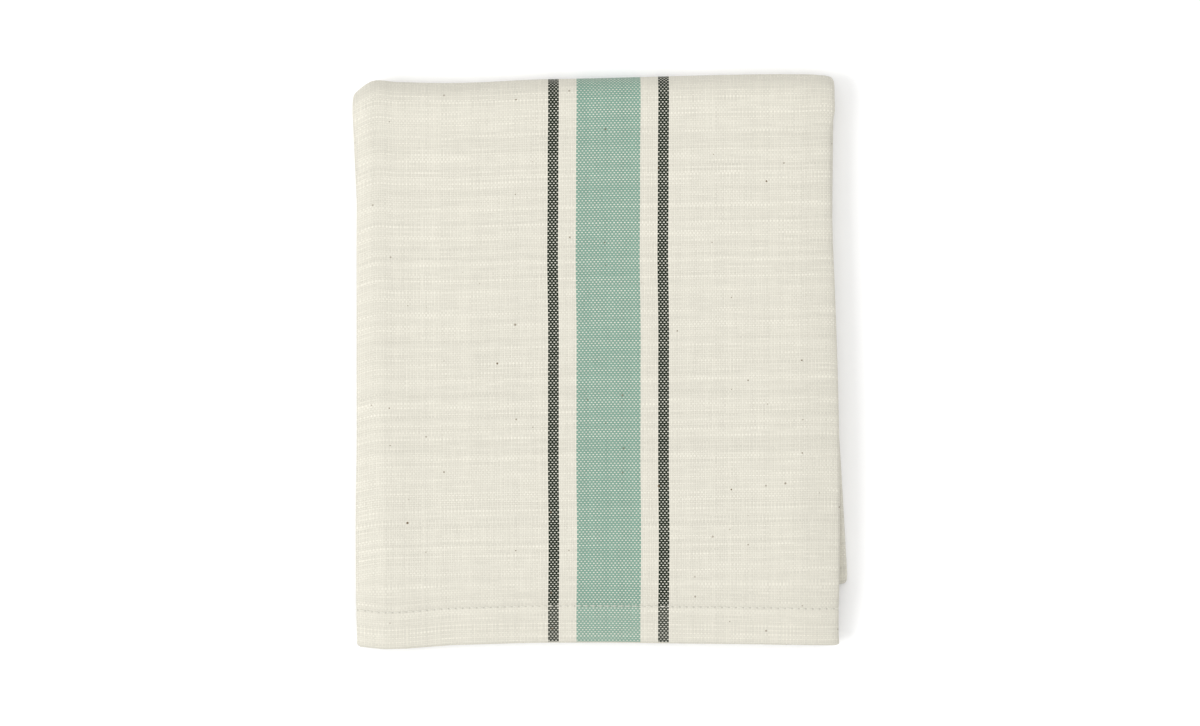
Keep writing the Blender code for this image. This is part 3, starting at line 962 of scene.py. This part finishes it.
@dataclass(frozen=True)
class CottonWeave:
    """The finish of the cloth: a plain weave of uneven cotton yarns, with a stripe group in the warp.

    Where a warp and a weft yarn cross, each has a height: it rises and falls along its own length with a
    cosine, the two in opposite ways, and is rounded across with a parabola. The higher one shows, and the
    warp lies higher throughout by its cover, which is more in the stripes: there the weft shows only as dots.
    """

    warp_pitch: float = 0.583
    weft_pitch: float = 0.744
    yarn_wave: float = 0.50
    yarn_round: float = 0.50
    warp_width: float = 1.06
    weft_width: float = 0.98
    cream_cover: float = 0.22
    stripe_cover: float = 0.80
    cream: tuple[float, float, float, float] = (0.600, 0.577, 0.500, 1.0)
    weft_cream: tuple[float, float, float, float] = (0.625, 0.604, 0.528, 1.0)
    mint: tuple[float, float, float, float] = (0.178, 0.300, 0.238, 1.0)
    dark: tuple[float, float, float, float] = (0.010, 0.017, 0.009, 1.0)
    speck: tuple[float, float, float, float] = (0.12, 0.075, 0.035, 1.0)
    stripes: StripeGroup = StripeGroup()
    row_unevenness: float = 0.03
    hem_paleness: float = 0.06
    hole_shade: float = 0.22
    roughness: float = 0.93
    sheen: float = 0.02
    bump_height: float = 0.11 * MM

    def material(self, length: float, seam: float, pitch: float) -> bpy.types.Material:
        """Make the material.

        Args:
            length: the cloth's length.
            seam: how far the stitches are from each hem's edge.
            pitch: the length of a stitch.

        Returns:
            The material, which reads the cloth's own coordinates in millimetres.
        """
        material = bpy.data.materials.new("striped cotton weave")
        material.use_nodes = True
        bench = NodeBench(material.node_tree)
        shader = material.node_tree.nodes["Principled BSDF"]
        place = bench.node("ShaderNodeUVMap", uv_map="cloth").outputs[0]
        split = bench.node("ShaderNodeSeparateXYZ")
        bench.feed(split.inputs[0], place)
        across, along = split.outputs[0], split.outputs[1]

        warp, weft, warp_number, weft_number = self.yarn_grid(bench, across, along)
        warp_height, weft_height = self.yarn_heights(bench, across, along, (warp, weft),
                                                     (warp_number, weft_number))
        warp_shows = bench.step(bench.math("SUBTRACT", warp_height, weft_height), -0.10, 0.10)
        height = bench.math("MAXIMUM", warp_height, weft_height)

        colour = bench.blend(warp_shows, self.weft_colour(bench, across, weft_number),
                             self.warp_colour(bench, along, warp_number))
        # Painted shade: the colour is darkened where the yarns lie low, in the hollows between them, and kept
        # full on their tops.
        painted_hollow_shade = bench.step(height, -0.10, 0.75)
        colour = bench.scaled(colour, bench.math("MULTIPLY_ADD", painted_hollow_shade, 0.38, 0.66))
        row_tone = bench.math("MULTIPLY_ADD", bench.draw(weft_number, 33.0), self.row_unevenness,
                              1.0 - 0.5 * self.row_unevenness)
        colour = bench.scaled(colour, row_tone)
        colour = self.with_specks(bench, place, colour)
        from_edge = bench.math("MINIMUM", along, bench.math("SUBTRACT", length / MM, along))
        colour, height = self.with_seam(bench, across, from_edge, colour, height, seam / MM, pitch / MM)
        bench.feed(shader.inputs["Base Color"], colour)

        bump = bench.node("ShaderNodeBump")
        bump.inputs["Strength"].default_value = 0.8
        bump.inputs["Distance"].default_value = self.bump_height
        bench.feed(bump.inputs["Height"], height)
        bench.feed(shader.inputs["Normal"], bump.outputs[0])
        shader.inputs["Roughness"].default_value = self.roughness
        shader.inputs["Sheen Weight"].default_value = self.sheen
        shader.inputs["Sheen Roughness"].default_value = 0.6
        shader.inputs["Specular IOR Level"].default_value = 0.25
        return material

    def yarn_grid(self, bench: NodeBench, across: Socket, along: Socket) -> tuple[Socket, ...]:
        """Find the nearest yarns. They wander a little, so the stripes aren't quite straight.

        Args:
            bench: the material's nodes.
            across: the distance across the cloth.
            along: the distance along it.

        Returns:
            How far off the middle of the nearest warp and weft yarn the point is, from -0.5 to 0.5, and the
            two yarns' numbers.
        """
        warp_wander = bench.noise(bench.point(bench.math("MULTIPLY", along, 0.018), 3.1), 1.0)
        weft_wander = bench.noise(bench.point(bench.math("MULTIPLY", across, 0.016), 7.7), 1.0)
        warp_run = bench.math("DIVIDE", bench.math("MULTIPLY_ADD", warp_wander, 0.9, across), self.warp_pitch)
        weft_run = bench.math("DIVIDE", bench.math("MULTIPLY_ADD", weft_wander, 1.6, along), self.weft_pitch)
        warp_number = bench.math("ROUND", warp_run)
        weft_number = bench.math("ROUND", weft_run)
        warp = bench.math("SUBTRACT", warp_run, warp_number)
        weft = bench.math("SUBTRACT", weft_run, weft_number)
        return warp, weft, warp_number, weft_number

    def yarn_heights(self, bench: NodeBench, across: Socket, along: Socket, beside: tuple[Socket, Socket],
                     numbers: tuple[Socket, Socket]) -> tuple[Socket, Socket]:
        """Work out the heights of the warp and of the weft, as the class describes, with their slubs.

        Args:
            bench: the material's nodes.
            across: the distance across the cloth.
            along: the distance along it.
            beside: the places beside the nearest warp and weft yarn.
            numbers: those yarns' numbers.

        Returns:
            The warp's height and the weft's.
        """
        warp, weft = beside
        warp_number, weft_number = numbers
        odd = bench.math("MODULO", bench.math("ADD", warp_number, weft_number), 2.0)
        turn = bench.math("MULTIPLY_ADD", odd, -2.0, 1.0)
        warp_slub = self.slub(bench, along, warp_number, 0.024, 21.0)
        weft_slub = self.slub(bench, across, weft_number, 0.034, 57.0)
        warp_width = bench.math("MULTIPLY_ADD", warp_slub, 0.30, self.warp_width - 0.14)
        weft_width = bench.math("MULTIPLY_ADD", weft_slub, 1.05, self.weft_width - 0.50)

        def height(off_middle: Socket, run: Socket, over: Socket, width: Socket) -> Socket:
            """Return a yarn's height: its wave along run, times over, and its roundness off its middle."""
            rise = bench.math("COSINE", bench.math("MULTIPLY", run, math.pi))
            rise = bench.math("MULTIPLY", bench.math("MULTIPLY", rise, self.yarn_wave), over)
            part = bench.math("DIVIDE", bench.math("MULTIPLY", off_middle, 2.0), width)
            rounded = bench.math("MULTIPLY", bench.math("MULTIPLY", part, part), -self.yarn_round)
            return bench.math("ADD", bench.math("ADD", rounded, self.yarn_round), rise)

        in_middle, in_line = self.stripe_parts(bench, warp_number)
        in_stripe = bench.math("MAXIMUM", in_middle, in_line)
        cover = bench.math("MULTIPLY_ADD", in_stripe, self.stripe_cover - self.cream_cover, self.cream_cover)
        warp_height = bench.math("ADD", height(warp, weft, turn, warp_width), cover)
        return warp_height, height(weft, warp, bench.math("MULTIPLY", turn, -1.0), weft_width)

    def stripe_parts(self, bench: NodeBench, number: Socket) -> tuple[Socket, Socket]:
        """Find where a warp yarn is in the stripe group.

        Args:
            bench: the material's nodes.
            number: the yarn's number.

        Returns:
            1 if it is in the middle stripe, and 1 if it is in one of the dark lines, or 0.
        """
        middle = self.stripes.middle_number + 0.5
        count = bench.math("ABSOLUTE", bench.math("SUBTRACT", number, middle))
        in_middle = bench.math("LESS_THAN", count, self.stripes.middle_to)
        in_line = bench.math("MULTIPLY", bench.math("GREATER_THAN", count, self.stripes.line_from),
                             bench.math("LESS_THAN", count, self.stripes.line_to))
        return in_middle, in_line

    def slub(self, bench: NodeBench, run: Socket, number: Socket, scale: float, seed: float) -> Socket:
        """Work out a yarn's unevenness: its own draw, a soft wave, and now and then a thick stretch.

        Args:
            bench: the material's nodes.
            run: the distance along the yarn.
            number: the yarn's number.
            scale: how many waves there are to a millimetre.
            seed: what sets the warp's draws apart from the weft's.

        Returns:
            The unevenness, from 0 to about 1.5.
        """
        line = bench.point(bench.math("MULTIPLY", run, scale), bench.math("MULTIPLY_ADD", number, 5.37, seed))
        wave = bench.noise(line, 1.0, 2.0)
        thick = bench.step(wave, 0.60, 0.74)
        return bench.math("ADD", bench.math("MULTIPLY", bench.draw(number, seed), 0.6),
                          bench.math("MULTIPLY_ADD", thick, 0.7, bench.math("MULTIPLY", wave, 0.3)))

    def warp_colour(self, bench: NodeBench, along: Socket, number: Socket) -> Socket:
        """Colour the warp: mint in the middle, a dark line on either side of it, and cream.

        Args:
            bench: the material's nodes.
            along: the distance along the cloth.
            number: the yarn's number.

        Returns:
            The colour, with each yarn a little paler or darker along its run.
        """
        in_middle, in_line = self.stripe_parts(bench, number)
        colour = bench.blend(in_middle, self.cream, self.mint)
        colour = bench.blend(in_line, colour, self.dark)
        tone = bench.math("MULTIPLY_ADD", bench.draw(number, 5.0), 0.06, 0.97)
        patch = bench.noise(bench.point(bench.math("MULTIPLY", along, 0.12),
                                        bench.math("MULTIPLY", number, 3.1)), 1.0, 2.0)
        tone = bench.math("MULTIPLY", tone, bench.math("MULTIPLY_ADD", patch, 0.16, 0.92))
        return bench.scaled(colour, tone)

    def weft_colour(self, bench: NodeBench, across: Socket, number: Socket) -> Socket:
        """Colour the weft cream.

        Args:
            bench: the material's nodes.
            across: the distance across the cloth.
            number: the yarn's number.

        Returns:
            The colour, with each yarn a little paler or darker along its run.
        """
        tone = bench.math("MULTIPLY_ADD", bench.draw(number, 9.0), 0.13, 0.935)
        patch = bench.noise(bench.point(bench.math("MULTIPLY", across, 0.10),
                                        bench.math("MULTIPLY", number, 3.1)), 1.0, 2.0)
        tone = bench.math("MULTIPLY", tone, bench.math("MULTIPLY_ADD", patch, 0.32, 0.84))
        return bench.scaled(self.weft_cream, tone)

    def with_specks(self, bench: NodeBench, place: Socket, colour: Socket) -> Socket:
        """Scatter specks of seed husk: they are the middles of a few of a pattern's cells.

        Args:
            bench: the material's nodes.
            place: the cloth's own coordinates.
            colour: the cloth's colour.

        Returns:
            The colour with the specks.
        """
        cells = bench.node("ShaderNodeTexVoronoi", voronoi_dimensions="2D")
        bench.feed(cells.inputs["Vector"], place)
        cells.inputs["Scale"].default_value = 0.17
        pick = bench.node("ShaderNodeSeparateColor")
        bench.feed(pick.inputs[0], cells.outputs["Color"])
        chosen = bench.math("LESS_THAN", pick.outputs[0], 0.10)
        size = bench.math("MULTIPLY_ADD", pick.outputs[1], 0.045, 0.020)
        near = bench.math("LESS_THAN", cells.outputs["Distance"], size)
        part = bench.math("MULTIPLY", bench.math("MULTIPLY", chosen, near),
                          bench.math("MULTIPLY_ADD", pick.outputs[2], 0.6, 0.35))
        return bench.blend(part, colour, self.speck)

    def with_seam(self, bench: NodeBench, across: Socket, from_edge: Socket, colour: Socket, height: Socket,
                  seam: float, pitch: float) -> tuple[Socket, Socket]:
        """Add the hem: paler cloth over its layers, painted shade on the cloth just past it, and needle holes.

        Args:
            bench: the material's nodes.
            across: the distance across the cloth.
            from_edge: the distance from the nearer hem's edge.
            colour: the cloth's colour.
            height: the yarns' height.
            seam: how far the stitches are from the edge.
            pitch: the length of a stitch.

        Returns:
            The colour and the height with the hem.
        """
        over_hem = bench.step(from_edge, seam + 0.5, seam - 0.5)
        # Painted shade: the cloth just past the seam is darkened a little, where it slopes off the hem.
        painted_shade_past_hem = bench.math("SUBTRACT", bench.step(from_edge, seam + 9.0, seam + 1.0), over_hem)
        colour = bench.blend(bench.math("MULTIPLY", over_hem, self.hem_paleness), colour, self.weft_cream)
        colour = bench.scaled(colour, bench.math("MULTIPLY_ADD", painted_shade_past_hem, -0.035, 1.0))
        hole_run = bench.math("FRACT", bench.math("DIVIDE", across, pitch))
        aside = bench.math("MULTIPLY", bench.math("SUBTRACT", hole_run, 0.5), pitch)
        aside = bench.math("SUBTRACT", 0.5 * pitch, bench.math("ABSOLUTE", aside))
        off_seam = bench.math("SUBTRACT", from_edge, seam)
        distance = bench.math("SQRT", bench.math("ADD", bench.math("MULTIPLY", aside, aside),
                                                 bench.math("MULTIPLY", off_seam, off_seam)))
        hole = bench.step(distance, 0.40, 0.10)
        colour = bench.scaled(colour, bench.math("MULTIPLY_ADD", hole, -self.hole_shade, 1.0))
        return colour, bench.math("MULTIPLY_ADD", hole, -1.2, height)


@dataclass(frozen=True)
class StitchThread:
    """The finish of the sewing thread: cream, with the twist of its plies, and painted shade in the grooves
    between them.
    """

    colour: tuple[float, float, float, float] = (0.700, 0.685, 0.610, 1.0)
    # shade is a darker copy of the thread's cream, painted into the grooves between the plies.
    shade: tuple[float, float, float, float] = (0.600, 0.582, 0.510, 1.0)
    plies: float = 3.0
    roughness: float = 0.7

    def material(self) -> bpy.types.Material:
        """Make the material: a wave that winds round the thread as it runs along it, in height, and in colour
        as painted shade between the plies.

        Returns:
            The material, which reads millimetres along the thread and turns round it.
        """
        material = bpy.data.materials.new("cream sewing thread")
        material.use_nodes = True
        bench = NodeBench(material.node_tree)
        shader = material.node_tree.nodes["Principled BSDF"]
        split = bench.node("ShaderNodeSeparateXYZ")
        bench.feed(split.inputs[0], bench.node("ShaderNodeUVMap", uv_map="cloth").outputs[0])
        turn = bench.math("ADD", bench.math("MULTIPLY", split.outputs[0], 1.1 * self.plies), split.outputs[1])
        wave = bench.math("SINE", bench.math("MULTIPLY", turn, 2.0 * math.pi))
        part = bench.math("MULTIPLY_ADD", wave, 0.5, 0.5)
        # Painted shade: the wave blends the cream towards its darker copy in the grooves between the plies.
        bench.feed(shader.inputs["Base Color"], bench.blend(part, self.shade, self.colour))
        bump = bench.node("ShaderNodeBump")
        bump.inputs["Strength"].default_value = 0.6
        bump.inputs["Distance"].default_value = 0.05 * MM
        bench.feed(bump.inputs["Height"], part)
        bench.feed(shader.inputs["Normal"], bump.outputs[0])
        shader.inputs["Roughness"].default_value = self.roughness
        return material


# --------------------------------------------------------------------------------------------------------
# The studio
# --------------------------------------------------------------------------------------------------------


@dataclass(frozen=True)
class SoftLight:
    """A square studio light that points at the middle of the towel."""

    name: str
    place: tuple[float, float, float]
    size: float
    power: float

    def build(self) -> None:
        """Make the light and aim it."""
        lamp = bpy.data.lights.new(self.name, "AREA")
        lamp.shape = "SQUARE"
        lamp.size = self.size
        lamp.energy = self.power
        light = bpy.data.objects.new(self.name, lamp)
        bpy.context.scene.collection.objects.link(light)
        light.location = self.place
        aim = -light.location
        light.rotation_mode = "QUATERNION"
        light.rotation_quaternion = aim.to_track_quat("-Z", "Y")


@dataclass
class Studio:
    """A plain pale floor, soft light, and a camera straight above the towel."""

    floor_size: float = 6.0
    floor_colour: tuple[float, float, float, float] = (0.95, 0.95, 0.95, 1.0)
    sky: float = 0.70
    lens: float = 180.0
    view_width: float = 393.5 * MM
    view_centre: tuple[float, float] = (0.4 * MM, -0.5 * MM)
    lights: tuple[SoftLight, ...] = (
        SoftLight("key", (-2.10, -0.60, 2.60), 1.8, 57.0),
        SoftLight("overhead", (0.2, 0.2, 2.6), 1.8, 22.0),
    )

    def build(self) -> None:
        """Make the floor, the lights and the camera."""
        self.build_floor()
        for light in self.lights:
            light.build()
        self.build_sky()
        self.build_camera()
        bpy.context.scene.view_settings.view_transform = "Standard"

    def build_floor(self) -> None:
        """Make the floor, just under the towel, with the faintest unevenness in its paint."""
        half = 0.5 * self.floor_size
        corners = np.array([(-half, -half, 0.0), (half, -half, 0.0), (half, half, 0.0), (-half, half, 0.0)])
        floor = make_mesh("floor", corners, np.array([[0, 1, 2, 3]]), corners[:, :2])
        material = bpy.data.materials.new("pale floor")
        material.use_nodes = True
        bench = NodeBench(material.node_tree)
        shader = material.node_tree.nodes["Principled BSDF"]
        shader.inputs["Base Color"].default_value = self.floor_colour
        shader.inputs["Roughness"].default_value = 0.9
        shader.inputs["Specular IOR Level"].default_value = 0.1
        grain = bench.node("ShaderNodeBump")
        grain.inputs["Distance"].default_value = 0.05 * MM
        spot = bench.node("ShaderNodeTexCoord").outputs["Object"]
        bench.feed(grain.inputs["Height"], bench.noise(spot, 400.0))
        bench.feed(shader.inputs["Normal"], grain.outputs[0])
        floor.data.materials.append(material)

    def build_sky(self) -> None:
        """Make the even white light from all round."""
        world = bpy.data.worlds.new("studio")
        world.use_nodes = True
        background = world.node_tree.nodes["Background"]
        background.inputs["Color"].default_value = (1.0, 1.0, 1.0, 1.0)
        background.inputs["Strength"].default_value = self.sky
        bpy.context.scene.world = world

    def build_camera(self) -> None:
        """Make the camera, straight above, at the distance where the view is as wide as it should be."""
        data = bpy.data.cameras.new("camera")
        data.lens = self.lens
        camera = bpy.data.objects.new("camera", data)
        bpy.context.scene.collection.objects.link(camera)
        top = CAD_BOX[1][2]
        distance = self.view_width * self.lens / data.sensor_width
        camera.location = (*self.view_centre, top + distance)
        bpy.context.scene.camera = camera


# --------------------------------------------------------------------------------------------------------
# The whole
# --------------------------------------------------------------------------------------------------------


@dataclass
class TeaTowel:
    """The towel: its cloth, and the stitches of its two hems on both surfaces."""

    cloth: TowelCloth = field(default_factory=lambda: TowelCloth(FoldedPile()))
    weave: CottonWeave = CottonWeave()
    thread: StitchThread = StitchThread()

    def build(self) -> None:
        """Make, dress and declare every piece."""
        sheet = self.cloth.sheet()
        length = float(sheet.along[-1, 0])
        towel = self.cloth.build(sheet)
        stitches = self.build_stitches(sheet)

        cotton = self.weave.material(length, self.cloth.stitch_line, HemStitching.pitch)
        towel.data.materials.append(cotton)
        thread = self.thread.material()
        for piece in stitches:
            piece.data.materials.append(thread)
        for piece in (towel, *stitches):
            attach(piece, "root")
            LOG.info("%s: %d faces", piece.name, len(piece.data.polygons))
        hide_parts("towel")
        LOG.info("flat size: %.3f by %.3f m", self.cloth.width, length)

    def build_stitches(self, sheet: ClothSheet) -> list[bpy.types.Object]:
        """Make the four rows of stitches: two hems, each seen on two surfaces.

        Args:
            sheet: the cloth's grids.

        Returns:
            The four pieces.
        """
        rows = {"front": sheet.front_stitch_row, "hidden": sheet.hidden_stitch_row}
        pieces = []
        for hem, row in rows.items():
            for surface in Surface:
                stitching = HemStitching(surface, f"{hem}_hem_stitches_{surface.name.lower()}")
                pieces.append(stitching.build(self.cloth, sheet, row))
        return pieces


def main() -> None:
    """Build the studio and the towel."""
    logging.basicConfig(level=logging.INFO, format="%(name)s: %(message)s")
    Studio().build()
    TeaTowel().build()


if __name__ == "__main__":
    main()
